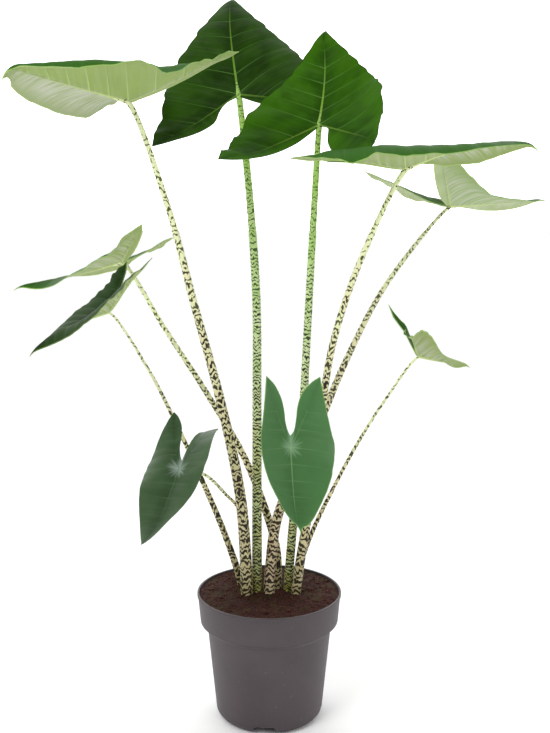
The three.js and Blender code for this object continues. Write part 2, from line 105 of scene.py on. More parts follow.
# petioles
PETIOLE_SIDES = 28
PETIOLE_STEP = 5
PETIOLE_RIBS = 5
PETIOLE_RIB = 0.025
SWELLING = 0.12
SWELLING_LENGTH = 9
END_TAPER = 0.62
# how far the petiole's end runs along the midrib, and how deep it lies under the blade there
ENDS_UNDER_BLADE = ((9, 0.75), (22, 0.4))
# keeps each petiole's pattern apart from the others', as LEAF_SPACING does for the blades
PETIOLE_SPACING = 37

# blades, as in the solids
HOOK_START = 0.86
ROLL_START = 0.75
ROLL_GAP = 0.17
ROLL_RISE = 0.2
SHOULDER = 1.6
LIFT_BLEND = 0.3
STEEPEST = 2.2
RIPPLES = 3.3

# blades, finer
BLADE_TOP = 0.45
FOLD_ROUNDING = 2.2
BLADE_EDGE = 0.8
BLADE_MERGE = 0.005
LEAF_CREASE = 50
LEAF_SPACING = 40.0
RIB_DEPTH = 2.7
RIB_GROOVE = 0.22
MIDRIB_HALF = (0.5, 2.2)
LOBE_RIB_HALF = (2.0, 0.5)
LATERALS = 6
LATERAL_SPREAD = 0.93
LATERAL_HALF = (1.2, 0.45)
LATERAL_RIDGE = 0.28
LOBE_LATERALS = 4
# breadths between which the margin starts to swell, the veins to show and the ribs to stand out
SWELLING_BREADTHS = (12, 60)
VEINED_BREADTHS = (10, 36)
RIDGED_BREADTHS = (3, 12)
PUCKER = 1.0
PUCKER_FROM_MARGIN = 18
PUCKER_FROM_RIB = 10
FINE_RIPPLE = 0.7
FINE_RIPPLES = 9.0
BLADE_COLUMNS = 28
LOBE_COLUMNS = 14
ROW_PLACES = (0, 0.035, 0.09, 0.19, 0.34, 0.5, 0.66, 0.81, 0.91, 0.965)

# A leaf's blade is laid out flat, then bent. Lengths are millimetres and angles degrees.
# Flat: length from petiole to tip, width from midrib to margin beside the petiole, lobe length,
# spread of the lobe tips and bulge of the lobe margins as parts of the width, pinch of the
# sinus edge, depth of the sinus floor, and how much fuller the blade is near its tip.
# Placed: junction with the petiole, heading and pitch of the midrib, roll about it.
# Bent: droop of the midrib, hook of its tip, twist along it, change of fold from petiole to tip,
# ripple of the margin, and for each half its fold, margin curl, lobe lift, margin wave and phase,
# how far its edge is rolled down ahead of and behind a gap, how far its lobe reaches, and the
# course of its inner margin as parts of the lobe's own breadth and length.
# Petiole: the points it passes through, its radius at the foot and at the top, and its taper.
# Looks: the blade's and the petiole's finish, how silvery each half is beneath, partly with painted
# sheen, its colours there, with painted light where one half is lighter than the other, how far the
# margin swells between its laterals, and how stout its ribs are.
# PLAIN_LEAF is what a leaf has where its own entry says nothing else.
PLAIN_LEAF = dict(gap=4, full=0, taper=1.2, petiole="cream", blade="mid", scallop=0.7, rib=1,
                  beneath=("#8C9E5E", "#96A66C"))
LEAVES = [PLAIN_LEAF | leaf for leaf in (
    dict(
        name="upper_left", junction=(-191, -20, 896), heading=207, pitch=12, roll=7,
        length=177, width=117, lobe=112, spread=1.1, bulge=0.15, pinch=0, full=1.5,
        droop=0, hook=-80, twist=19, fold_change=-40, ripple=2,
        left=dict(fold=26, curl=-10, lift=4, wave=-7, phase=0.05, rolled=(20, 13)),
        right=dict(fold=21, curl=-13, lift=12, wave=-10, phase=-0.8, reach=0.75),
        stalk=((-33, -14, 150), (-33, -14, 192), (-41, -15, 333), (-68, -16, 474),
               (-104, -17, 614), (-140, -19, 755)),
        radii=(9.6, 3.6), silver_and_sheen=(0.1, 0.9),
        beneath=("#8FA45A", "#9EAA80")),
    dict(
        name="top_rear", junction=(-46, 110, 920), heading=108, pitch=63, roll=-35,
        length=219, width=119, lobe=76, spread=1.13, bulge=0.05, pinch=0.09,
        droop=-14, hook=-32, twist=14, fold_change=-30, ripple=3,
        left=dict(fold=7, curl=1, lift=7, wave=-2, phase=0,
                  inner=((0.15, 0.13), (0.24, 0.31), (0.31, 0.54), (0.5, 0.73), (0.76, 0.87))),
        right=dict(fold=-1, curl=-14, lift=2, wave=7, phase=0),
        stalk=((-18, -4, 150), (-18, -4, 188), (-18, 14, 330), (-18, 36, 474),
               (-19, 60, 620), (-29, 84, 769)),
        radii=(7.5, 4.2), taper=0.5, petiole="green", blade="deepest", silver_and_sheen=(0.3, 0.3),
        scallop=3),
    dict(
        name="top_front", junction=(70, 20, 868), heading=75, pitch=53, roll=-8,
        length=154, width=110, lobe=109, spread=1.1, bulge=0.07, pinch=0.09,
        droop=19, hook=-79, twist=-5, fold_change=-18, ripple=3,
        left=dict(fold=13, curl=-2, lift=3, wave=-6, phase=-0.2),
        right=dict(fold=8, curl=13, lift=-6, wave=8, phase=0.15, reach=0.74,
                   inner=((0.13, 0.13), (0.15, 0.33), (0.18, 0.52), (0.3, 0.76), (0.63, 0.94))),
        stalk=((27, 2, 150), (28, 2, 190), (38, 1, 325), (49, 3, 460), (56, 7, 595),
               (63, 12, 732)),
        radii=(6.8, 3.8), taper=0.6, petiole="green", blade="deep", silver_and_sheen=(0.3, 0.3),
        scallop=2.5),
    dict(
        name="left_front", junction=(-216, -80, 614), heading=200, pitch=-16, roll=5,
        length=120, width=63, lobe=58, spread=1.25, bulge=0.12, pinch=0.01,
        droop=-11, hook=-16, twist=-18, fold_change=-62, ripple=1.2,
        left=dict(fold=33, curl=-15, lift=-5, wave=-1.5, phase=-0.15),
        right=dict(fold=27, curl=-3, lift=1, wave=-1.5, phase=0),
        stalk=((-41, 30, 150), (-43, 29, 188), (-67, 20, 271), (-98, 7, 355),
               (-131, -10, 439), (-167, -38, 526)),
        radii=(6, 1.5), blade="painted_shade", silver_and_sheen=(0.5, 0.5)),
    dict(
        name="left_rear", junction=(-225, 110, 672), heading=159, pitch=-15, roll=-4,
        length=205, width=55, lobe=68, spread=1.03, bulge=0.1, pinch=0.15,
        droop=3, hook=-22, twist=-43, fold_change=-53, ripple=2,
        left=dict(fold=39, curl=-18, lift=-1, wave=-7, phase=-0.05),
        right=dict(fold=6, curl=-12, lift=12, wave=10.5, phase=-0.15),
        stalk=((12, 9, 150), (12, 9, 188), (11, 27, 240), (-1, 45, 284), (-38, 59, 378),
               (-95, 75, 474), (-158, 92, 569)),
        radii=(7.2, 2.9), silver_and_sheen=(0.6, 0.6)),
    dict(
        name="small_right", junction=(229, 90, 529), heading=-13, pitch=-11, roll=-23,
        length=78, width=50, lobe=37, spread=1.41, bulge=0.09, pinch=-0.05,
        droop=3, hook=-34, twist=-20, fold_change=-45, ripple=1,
        left=dict(fold=38, curl=-5, lift=-9, wave=-16.5, phase=0),
        right=dict(fold=24, curl=-4, lift=29, wave=14, phase=0.1),
        stalk=((40, 28, 150), (42, 30, 197), (64, 39, 264), (96, 50, 330), (133, 63, 397),
               (176, 76, 463)),
        radii=(4.2, 1.8), silver_and_sheen=(0.4, 0.8)),
    dict(
        name="upper_right", junction=(184, -50, 805), heading=-18, pitch=21, roll=12,
        length=183, width=124, lobe=114, spread=0.84, bulge=0.15, pinch=-0.03,
        droop=-13, hook=-53, twist=-4, fold_change=-58, ripple=2,
        left=dict(fold=14, curl=-23, lift=-5, wave=5.5, phase=0.15),
        right=dict(fold=41, curl=-26, lift=-4, wave=5.5, phase=0.05),
        stalk=((38, -10, 150), (40, -10, 194), (57, -16, 316), (72, -23, 438),
               (89, -31, 561), (127, -40, 683)),
        radii=(7.6, 3.6), petiole="tan", silver_and_sheen=(0.9, 0.2)),
    dict(
        name="right_rear", junction=(280, 150, 756), heading=28, pitch=3, roll=-7,
        length=202, width=78, lobe=83, spread=1.39, bulge=0.07, pinch=0.13,
        droop=1, hook=-24, twist=-6, fold_change=-71, ripple=2,
        left=dict(fold=32, curl=-13, lift=-4, wave=-8, phase=-0.05),
        right=dict(fold=34, curl=-14, lift=2, wave=12, phase=-0.3),
        stalk=((0, -9, 150), (0, -8, 189), (2, -4, 226), (13, 12, 301), (67, 43, 414),
               (117, 76, 526), (181, 112, 640)),
        radii=(9.2, 2.6), petiole="pink", silver_and_sheen=(0.9, 0.7),
        beneath=("#AEBB90", "#92A870")),
    dict(
        name="low_left", junction=(-123, -90, 399), heading=-108, pitch=-41, roll=-11,
        length=157, width=49, lobe=88, spread=0.7, bulge=0, pinch=0.2, gap=14,
        droop=19, hook=7, twist=6, fold_change=0, ripple=1.2,
        left=dict(fold=36, curl=-3, lift=-21, wave=11.5, phase=-0.15,
                  inner=((0.03, 0.31), (0.07, 0.5), (0.15, 0.68), (0.32, 0.86), (0.66, 0.95))),
        right=dict(fold=5, curl=-13, lift=-3, wave=-14.5, phase=-0.1,
                   inner=((0.13, 0.25), (0.27, 0.41), (0.36, 0.61), (0.51, 0.8), (0.76, 0.94))),
        stalk=((-22, 24, 150), (-25, 22, 190), (-35, 14, 232), (-43, 2, 310),
               (-62, -22, 343), (-92, -66, 386)),
        radii=(3, 2), blade="silvery", silver_and_sheen=(0.4, 0.4), rib=0.5),
    dict(
        name="low_front", junction=(30, -95, 431), heading=-84, pitch=-67, roll=1,
        length=149, width=65, lobe=97, spread=0.65, bulge=-0.09, pinch=0.29, gap=16,
        droop=40, hook=-53, twist=-5, fold_change=-4, ripple=1.2,
        left=dict(fold=6, curl=-16, lift=11, wave=17, phase=0.45,
                  inner=((0.13, 0.24), (0.21, 0.4), (0.27, 0.58), (0.42, 0.76), (0.72, 0.92))),
        right=dict(fold=37, curl=12, lift=4, wave=-6, phase=0.1,
                   inner=((0.1, 0.24), (0.18, 0.36), (0.22, 0.53), (0.34, 0.71), (0.62, 0.89))),
        stalk=((33, 24, 150), (34, 22, 200), (39, 17, 280), (51, -8, 345), (50, -30, 378),
               (44, -62, 407)),
        radii=(3, 2), blade="fresh", silver_and_sheen=(0.4, 0.4), rib=0.6),
)]

# upper face, its darker middle (painted shade along the midrib, and darker patches), its painted
# sheen (a paler reflection), laterals, midrib, line along the margin, the star where the veins meet
# with how strongly it shows, and how glossy the face is
BLADE_FINISHES = {
    "deepest": dict(face="#274A06", shade="#142C02", painted_sheen="#4A5A3A", lateral="#4F7A33",
                    midrib="#6C9636", edge="#22380C", star="#4E7A33", glow=0.1, ior=1.12),
    "deep": dict(face="#356406", shade="#1D4002", painted_sheen="#4C6A34", lateral="#5F8C42",
                 midrib="#84AC44", edge="#2A480C", star="#5E8A3A", glow=0.15, ior=1.1),
    # painted shade: a darker copy of the deep finish, for a blade that lies in shade
    "painted_shade": dict(face="#243E14", shade="#1A2E0E", painted_sheen="#3E5632", lateral="#426236",
                   midrib="#63803F", edge="#6E8A48", star="#5A7A4A", glow=0.1, ior=1.1),
    "mid": dict(face="#2F6012", shade="#22450A", painted_sheen="#4A6C3C", lateral="#5F8A45",
                midrib="#8FB552", edge="#9CBC66", star="#7E9E78", glow=0.3, ior=1.1),
    "silvery": dict(face="#3F5838", shade="#2C4426", painted_sheen="#566C50", lateral="#4C6648",
                    midrib="#56744C", edge="#3E5636", star="#A9BAB0", glow=0.7, ior=1.25),
    "fresh": dict(face="#4A7744", shade="#426C3C", painted_sheen="#5C8056", lateral="#628A58",
                  midrib="#86AE74", edge="#74A050", star="#98BA98", glow=0.65, ior=1.25),
}

# finishes for which the deep green blades' slot name is chosen
DARK_BLADES = ("deepest", "deep", "painted_shade")

# underside of every leaf: patches, silvery streaks that are partly painted sheen, laterals, ribs
# and the line along the margin
UNDERSIDE = dict(patch="#7F9650", silver_and_sheen="#BBBFAC", lateral="#B9CB86", midrib="#BCCF84",
                 edge="#A8C06E")

# ground colour at the foot, darker with painted shade, halfway, paler on the green ones with a
# painted highlight, and at the top, bands at the foot and at the top, distance between bands at the
# foot and at the top, and the share of the surface that the bands cover at the foot, halfway and at
# the top
PETIOLE_FINISHES = {
    "cream": dict(foot="#B8AA7C", middle="#DED8AC", top="#DDE6B6", band="#2A2210",
                  fading="#5A6030", spacing=(8, 9.5), cover=(0.58, 0.46, 0.06)),
    "tan": dict(foot="#B8AB7E", middle="#DCD6AA", top="#DCE5B4", band="#2A2210",
                fading="#5A6030", spacing=(8.2, 9.5), cover=(0.56, 0.46, 0.06)),
    "pink": dict(foot="#BFA786", middle="#D8D0A8", top="#D4DCAE", band="#30241A",
                 fading="#666A48", spacing=(7, 9), cover=(0.56, 0.44, 0.15)),
    "green": dict(foot="#A5A458", middle="#C8D8A4", top="#90B656", band="#2C2E12",
                  fading="#44691F", spacing=(5, 6), cover=(0.6, 0.36, 0.1)),
}

PLASTIC = dict(dark="#40383C", light="#494044", dust="#857C78")
MOSS = "#3B3812"


def linear(code):
    """An sRGB hex value as linear RGBA."""
    shares = [int(code[i:i + 2], 16) / 255 for i in (1, 3, 5)]
    return [s / 12.92 if s <= 0.04045 else ((s + 0.055) / 1.055) ** 2.4 for s in shares] + [1]


def add(tree, kind, inputs=None, **settings):
    """Adds a node with its settings, and fills or links its inputs.

    A node that is given for an input links by its first output in use.
    """
    made = tree.nodes.new(f"ShaderNode{kind}")
    for name, value in settings.items():
        setattr(made, name, value)
    for key, value in (inputs or {}).items():
        if isinstance(value, bpy.types.Node):
            value = next(output for output in value.outputs if output.enabled)
        if isinstance(value, bpy.types.NodeSocket):
            tree.links.new(value, made.inputs[key])
        else:
            made.inputs[key].default_value = value
    return made


def blank_material(name):
    """A new material with an empty tree, and what adds a node to that tree."""
    material = bpy.data.materials.new(name)
    material.use_nodes = True
    material.node_tree.nodes.clear()
    return material, partial(add, material.node_tree)


# What the corners of a blade carry.
# veins: distance to rib and to lateral as parts of their half widths, and to margin in mm.
# shown: how strongly ribs and laterals stand out, and distance from the midrib, 0 to 1.
# lay: distance across, along and a number of the leaf's own, in mm from the junction.
def blade_attributes(node):
    veins, shown, lay = (node("Attribute", attribute_name=name).outputs["Vector"]
                         for name in ("veins", "shown", "lay"))
    return node("SeparateXYZ", {0: veins}).outputs, node("SeparateXYZ", {0: shown}).outputs, lay


def layered(node, ground, layers):
    """Lays colours over the ground colour, one after the other.

    Each layer has what steers it, the value at which it is full and the one at which it is gone,
    how much it covers where full, how strongly it shows from place to place, and its colour.
    """
    ground = linear(ground)
    for steered_by, full, gone, cover, strength, colour in layers:
        mask = node("MapRange", {0: steered_by, 1: full, 2: gone, 3: cover, 4: 0},
                    interpolation_type="SMOOTHSTEP")
        if strength is not None:
            mask = node("Math", {0: mask, 1: strength}, operation="MULTIPLY")
        ground = node("Mix", {0: mask, 6: ground, 7: linear(colour)}, data_type="RGBA")
    return ground


# Leaf cuticle, upper face: smooth, waxy and half glossy, with paler sunken veins.
def upper_face(name, look):
    material, node = blank_material(f"leaf_upper_{name}")
    veins, shown, lay = blade_attributes(node)
    # broad patches about 40 mm long; the blade is darker along the midrib, which is painted shade
    patches = node("TexNoise", {"Vector": lay, "Scale": 1 / 40, "Detail": 2})
    outwards = node("Math", {0: shown[2], 1: 0.5, 2: patches}, operation="MULTIPLY_ADD")
    # painted sheen, a faint reflection, in stripes about 7 mm wide that follow the laterals
    stripe_lay = node("Mapping", {"Vector": lay, "Scale": (1 / 60, 1 / 7, 1)})
    stripes = node("TexNoise", {"Vector": stripe_lay, "Scale": 1, "Detail": 2})
    # a pale star of rays where the veins meet, gone about 16 mm out
    flat = node("VectorMath", {0: lay, 1: (1, 1, 0)}, operation="MULTIPLY")
    away = node("VectorMath", {0: flat}, operation="LENGTH")
    round_it = node("VectorMath", {0: flat}, operation="NORMALIZE")
    rays = node("TexNoise", {"Vector": round_it, "Scale": 3, "Detail": 2})
    reach = node("MapRange", {0: rays, 1: 0.35, 2: 0.65, 3: -3, 4: 5})
    from_star = node("Math", {0: away, 1: reach}, operation="SUBTRACT")
    colour = layered(node, look["shade"], (
        # painted shade: the face is darkest along the midrib, besides its darker patches
        (outwards, 1.05, 0.32, 1, None, look["face"]),
        # painted sheen: a paler reflection laid over the face in stripes
        (stripes, 0.8, 0.4, 0.22, None, look["painted_sheen"]),
        (veins[1], 0.2, 1.2, 0.8, shown[1], look["lateral"]),
        (from_star, -4, 16, look["glow"], None, look["star"]),
        (veins[0], 0.6, 1.2, 1, shown[0], look["midrib"]),
        (veins[2], 0.5, 1.6, 0.9, None, look["edge"])))
    # cells of the skin, 1.2 mm so that they show
    cells = node("TexVoronoi", {"Vector": lay, "Scale": 1 / 1.2})
    bump = node("Bump", {"Strength": 0.1, "Distance": 0.0002, "Height": cells})
    rough = node("MapRange", {0: patches, 1: 0.3, 2: 0.7, 3: 0.45, 4: 0.6})
    skin = node("BsdfPrincipled", {"Base Color": colour, "Roughness": rough, "IOR": look["ior"],
                                   "Normal": bump})
    node("OutputMaterial", {"Surface": skin})
    return material


# Leaf cuticle, underside: matte and waxy, pale, with raised yellow-green ribs and silvery streaks
# that are partly painted sheen, and painted light that makes one half lighter than the other.
def underside(leaf):
    material, node = blank_material(f"leaf_underside_{leaf['name']}")
    veins, shown, lay = blade_attributes(node)
    # the two halves are painted lighter or darker apart, as light falls on each: painted light
    across = node("SeparateXYZ", {0: lay}).outputs["X"]
    side = node("MapRange", {0: across, 1: -8, 2: 8}, interpolation_type="SMOOTHSTEP")
    patches = node("TexNoise", {"Vector": lay, "Scale": 1 / 40, "Detail": 2})
    # streaks about 6 mm wide that run with the laterals and fade out towards the margin, stronger
    # on the half that catches the light, so partly painted sheen
    streak_lay = node("Mapping", {"Vector": lay, "Scale": (1 / 70, 1 / 6, 1)})
    streaks = node("TexNoise", {"Vector": streak_lay, "Scale": 1, "Detail": 2})
    silver_and_sheen = node("MapRange", {0: side, 3: leaf["silver_and_sheen"][0], 4: leaf["silver_and_sheen"][1]})
    from_margin = node("MapRange", {0: veins[2], 1: 4, 2: 30})
    shine = node("Math", {0: silver_and_sheen, 1: from_margin}, operation="MULTIPLY")
    left, right = leaf["beneath"]
    colour = layered(node, left, (
        # painted light: one half is lighter or darker than the other
        (across, 8, -8, 1, None, right),
        (patches, 0.65, 0.35, 0.35, None, UNDERSIDE["patch"]),
        (streaks, 0.65, 0.35, 1, shine, UNDERSIDE["silver_and_sheen"]),
        (veins[1], 0.3, 1.4, 0.8, shown[1], UNDERSIDE["lateral"]),
        (veins[0], 0.8, 1.3, 1, shown[0], UNDERSIDE["midrib"]),
        (veins[2], 0.8, 2.2, 0.8, None, UNDERSIDE["edge"])))
    bump = node("Bump", {"Strength": 0.2, "Distance": 0.0003, "Height": streaks})
    skin = node("BsdfPrincipled", {"Base Color": colour, "Roughness": 0.6, "IOR": 1.35,
                                   "Normal": bump})
    node("OutputMaterial", {"Surface": skin})
    return material


# Cut edge of the blade: a firm line of thicker tissue, mottled every 9 mm or so.
def margin_skin(name, look):
    material, node = blank_material(f"leaf_margin_{name}")
    lay = node("Attribute", attribute_name="lay").outputs["Vector"]
    mottle = node("TexNoise", {"Vector": lay, "Scale": 1 / 9, "Detail": 2})
    tone = node("Mix", {0: mottle, 6: linear(look["edge"]), 7: linear(look["lateral"])},
                data_type="RGBA")
    skin = node("BsdfPrincipled", {"Base Color": tone, "Roughness": 0.5, "IOR": 1.35})
    node("OutputMaterial", {"Surface": skin})
    return material


# Petiole skin: firm, smooth and slightly waxy, with broken dark bands that zigzag across it.
# Attribute straight: place on the straightened petiole in mm. Attribute bands: x counts the bands
# from the foot, y is the height along the petiole from 0 to 1.
def petiole_skin(name, look):
    material, node = blank_material(f"petiole_{name}")
    straight, bands = (node("Attribute", attribute_name=name).outputs["Vector"]
                       for name in ("straight", "bands"))
    counted, climbed, _ = node("SeparateXYZ", {0: bands}).outputs
    # the bands zigzag round the petiole in steps about 6 mm wide, each much like the one below
    round_it = node("Mapping", {"Vector": straight, "Scale": (1 / 6, 1 / 6, 1 / 15)})
    lean = node("TexNoise", {"Vector": round_it, "Scale": 1, "Detail": 1})
    shift = node("MapRange", {0: lean, 1: 0.25, 2: 0.75, 3: -0.7, 4: 0.7})
    phase = node("Math", {0: counted, 1: shift}, operation="ADD")
    turn = node("Math", {0: phase, 1: 2 * math.pi}, operation="MULTIPLY")
    wave = node("Math", {0: turn}, operation="SINE")
    # breaks about 5 mm apart
    breaks = node("TexNoise", {"Vector": straight, "Scale": 1 / 5, "Detail": 1})
    broken = node("MapRange", {0: breaks, 1: 0.3, 2: 0.7, 3: -0.9, 4: 0.9})
    level = node("Math", {0: wave, 1: broken}, operation="ADD")
    # the bands cover less and less of the petiole towards its top
    low, middle, high = look["cover"]
    rising = node("MapRange", {0: climbed, 1: 0.1, 2: 0.6, 3: 1 - 2 * low, 4: 1 - 2 * middle})
    ending = node("MapRange", {0: climbed, 1: 0.6, 2: 0.97, 3: 0, 4: 2 * (middle - high)})
    limit = node("Math", {0: rising, 1: ending}, operation="ADD")
    over = node("Math", {0: level, 1: limit}, operation="SUBTRACT")
    mask = node("MapRange", {0: over, 1: -0.1, 2: 0.2}, interpolation_type="SMOOTHSTEP")
    tint = node("TexNoise", {"Vector": straight, "Scale": 1 / 30, "Detail": 2})
    uneven = node("MapRange", {0: tint, 1: 0.3, 2: 0.7, 3: -0.15, 4: 0.15})
    up = node("Math", {0: climbed, 1: uneven}, operation="ADD", use_clamp=True)
    # painted shade darkens the ground at the foot; on the green petioles a painted highlight makes
    # it palest halfway
    lower = node("MapRange", {0: up, 1: 0, 2: 0.45})
    upper = node("MapRange", {0: up, 1: 0.45, 2: 0.95})
    foot_tone = node("Mix", {0: lower, 6: linear(look["foot"]), 7: linear(look["middle"])},
                     data_type="RGBA")
    ground = node("Mix", {0: upper, 6: foot_tone, 7: linear(look["top"])}, data_type="RGBA")
    dark = node("Mix", {0: upper, 6: linear(look["band"]), 7: linear(look["fading"])},
                data_type="RGBA")
    banded = node("Mix", {0: mask, 6: ground, 7: dark}, data_type="RGBA")
    # fine lengthwise fibres, 1 mm apart
    fibre_lay = node("Mapping", {"Vector": straight, "Scale": (1, 1, 1 / 25)})
    fibres = node("TexNoise", {"Vector": fibre_lay, "Scale": 1, "Detail": 2})
    bump = node("Bump", {"Strength": 0.2, "Distance": 0.0003, "Height": fibres})
    skin = node("BsdfPrincipled", {"Base Color": banded, "Roughness": 0.5, "IOR": 1.35,
                                   "Normal": bump})
    node("OutputMaterial", {"Surface": skin})
    return material


# Injection-moulded polypropylene with recycled grey-brown pigment: matte, with a faint grain.
def pot_plastic():
    material, node = blank_material("moulded_polypropylene")
    place = node("TexCoord").outputs["Object"]
    clouds = node("TexNoise", {"Vector": place, "Scale": 14, "Detail": 4})
    tone = layered(node, PLASTIC["dark"], ((clouds, 0.65, 0.35, 1, None, PLASTIC["light"]),))
    # pale dust specks, 1.5 mm
    dust = node("TexNoise", {"Vector": place, "Scale": 1 / 0.0045, "Detail": 2})
    speck = node("MapRange", {0: dust, 1: 0.68, 2: 0.78, 3: 0, 4: 0.22})
    dusty = node("Mix", {0: speck, 6: tone, 7: linear(PLASTIC["dust"])}, data_type="RGBA")
    # moulding grain, 1 mm so that it shows
    grain = node("TexNoise", {"Vector": place, "Scale": 1000, "Detail": 2})
    bump = node("Bump", {"Strength": 0.18, "Distance": 0.0002, "Height": grain})
    rough = node("MapRange", {0: clouds, 1: 0.3, 2: 0.7, 3: 0.5, 4: 0.62})
    skin = node("BsdfPrincipled", {"Base Color": dusty, "Roughness": rough, "IOR": 1.49,
                                   "Normal": bump})
    node("OutputMaterial", {"Surface": skin})
    return material


# Potting soil: damp peat and coir, matte and nearly black-brown, with green moss in patches.
def peat(name, dark, light, moss):
    material, node = blank_material(name)
    place = node("TexCoord").outputs["Object"]
    # crumbs of 2 mm, and moss in patches of about 18 mm
    crumbs = node("TexNoise", {"Vector": place, "Scale": 500, "Detail": 4})
    crumb = node("MapRange", {0: crumbs, 1: 0.35, 2: 0.68})
    earth = node("Mix", {0: crumb, 6: linear(dark), 7: linear(light)}, data_type="RGBA")
    patches = node("TexNoise", {"Vector": place, "Scale": 55, "Detail": 3})
    patch = node("MapRange", {0: patches, 1: 0.52, 2: 0.62, 3: 0, 4: moss},
                 interpolation_type="SMOOTHSTEP")
    grown = node("Mix", {0: patch, 6: earth, 7: linear(MOSS)}, data_type="RGBA")
    bump = node("Bump", {"Strength": 0.8, "Distance": 0.0015, "Height": crumbs})
    skin = node("BsdfPrincipled", {"Base Color": grown, "Roughness": 0.92, "IOR": 1.35,
                                   "Normal": bump})
    node("OutputMaterial", {"Surface": skin})
    return material


def through(points, fractions, power=0.5):
    """Places on a Catmull-Rom curve at fractions of its length; power 0 is the uniform kind."""
    points = np.array(points, float)
    ends = [2 * points[0] - points[1], 2 * points[-1] - points[-2]]
    points = np.vstack([ends[0], points, ends[1]])
    steps = np.linalg.norm(np.diff(points, axis=0), axis=1) ** power
    t = np.linspace(0, 1, 40, endpoint=False)[:, None]
    line = []
    for i in range(1, len(points) - 2):
        a, b, c, d = points[i - 1:i + 3]
        before, here, after = steps[i - 1:i + 2]
        out = ((b - a) / before - (c - a) / (before + here) + (c - b) / here) * here
        into = ((c - b) / here - (d - b) / (here + after) + (d - c) / after) * here
        line.append(b + out * t + (3 * (c - b) - 2 * out - into) * t ** 2
                    + (2 * (b - c) + out + into) * t ** 3)
    line = np.vstack(line + [points[-2:-1]])
    lengths = np.r_[0, np.cumsum(np.linalg.norm(np.diff(line, axis=0), axis=1))]
    wanted = np.asarray(fractions) * lengths[-1]
    return np.stack([np.interp(wanted, lengths, column) for column in line.T], axis=-1)


def curve_length(points, power=0.5):
    line = through(points, np.linspace(0, 1, 400), power)
    return float(np.linalg.norm(np.diff(line, axis=0), axis=1).sum())


def activate(piece):
    bpy.ops.object.select_all(action="DESELECT")
    piece.select_set(True)
    bpy.context.view_layer.objects.active = piece


def edit(*steps):
    """Runs edit-mode steps on the whole of the active mesh."""
    bpy.ops.object.mode_set(mode="EDIT")
    bpy.ops.mesh.select_all(action="SELECT")
    for step in steps:
        step()
    bpy.ops.object.mode_set(mode="OBJECT")


def apply_modifier(piece, kind, **settings):
    modifier = piece.modifiers.new(kind.lower(), kind)
    for name, value in settings.items():
        setattr(modifier, name, value)
    activate(piece)
    bpy.ops.object.modifier_apply(modifier=modifier.name)


def patch_of(columns, rows, flip):
    """A grid of faces as a piece of its own, and the column and row of each of its corners."""
    bpy.ops.mesh.primitive_grid_add(x_subdivisions=columns, y_subdivisions=rows, size=1)
    piece = bpy.context.active_object
    if flip:
        edit(bpy.ops.mesh.flip_normals)
    share = places_of(piece) + 0.5
    column = np.rint(share[:, 0] * columns).astype(int)
    row = np.rint(share[:, 1] * rows).astype(int)
    return piece, column, row


def places_of(piece):
    flat = np.empty(len(piece.data.vertices) * 3)
    piece.data.vertices.foreach_get("co", flat)
    return flat.reshape(-1, 3)


def set_places(piece, places):
    piece.data.vertices.foreach_set("co", (np.asarray(places) * MM).astype(np.float32).ravel())
    piece.data.update()


def set_vectors(piece, name, *columns):
    attribute = piece.data.attributes.new(name, "FLOAT_VECTOR", "POINT")
    values = np.stack(columns, axis=-1).astype(np.float32)
    attribute.data.foreach_set("vector", values.ravel())


def smooth(piece, crease):
    """Smooth shading, with a hard edge wherever faces meet at more than the crease's degrees."""
    activate(piece)
    bpy.ops.object.shade_smooth_by_angle(angle=math.radians(crease))


def join(pieces, name):
    activate(pieces[0])
    for piece in pieces:
        piece.select_set(True)
    bpy.ops.object.join()
    piece = bpy.context.active_object
    piece.name = name
    piece.data.name = name
    return piece


def cover(piece, *materials):
    piece.data.materials.clear()
    for material in materials:
        piece.data.materials.append(material)


def dress(piece, slot, *nodes):
    """Gives a finished piece its body, and hides the parts of the nodes that it stands for."""
    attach(piece, BODY)
    if nodes:
        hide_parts(*nodes)


def ramp(x, low, high):
    return np.clip((x - low) / (high - low), 0, 1)


def smoothstep(x, low, high):
    t = ramp(x, low, high)
    return t * t * (3 - 2 * t)


def outer_margin(leaf):
    front = ((0, 1), (0.045, 0.94), (0.17, 0.84), (0.42, 0.65), (0.7, 0.42), (0.91, 0.17))
    points = [(leaf["width"] * x * (1 + leaf["full"] * y ** 4), leaf["length"] * y)
              for x, y in front]
    for t in (0, 0.28, 0.55, 0.8, 0.93, 1):
        bulge = leaf["bulge"] * math.sin(math.pi * t ** 0.9)
        x = 1 + (leaf["spread"] - 1) * t ** 1.5 + bulge
        points.append((leaf["width"] * x, -leaf["lobe"] * (0.04 + 0.96 * t)))
    return points


def inner_margin(leaf, sign):
    lobe, pinch, gap = leaf["lobe"], leaf["pinch"], leaf["gap"]
    reach = leaf["width"] * leaf["spread"]
    course = leaf["left" if sign < 0 else "right"].get("inner")
    if course:
        return [(0, -gap), *((reach * x, -lobe * y) for x, y in course), (reach, -lobe)]
    return [
        (0, -gap),
        (reach * (0.15 - pinch / 2), -0.17 * lobe - gap / 2),
        (reach * (0.34 - pinch), -0.38 * lobe),
        (reach * (0.6 - pinch), -0.64 * lobe),
        (reach * (0.8 - pinch / 2), -0.86 * lobe),
        (reach, -lobe),
    ]


def lobe_rib(leaf):
    reach = leaf["width"] * leaf["spread"]
    places = ((0, 0), (0.26, 0.22), (0.52, 0.46), (0.78, 0.73), (1, 1))
    return [(reach * x, -leaf["lobe"] * y) for x, y in places]


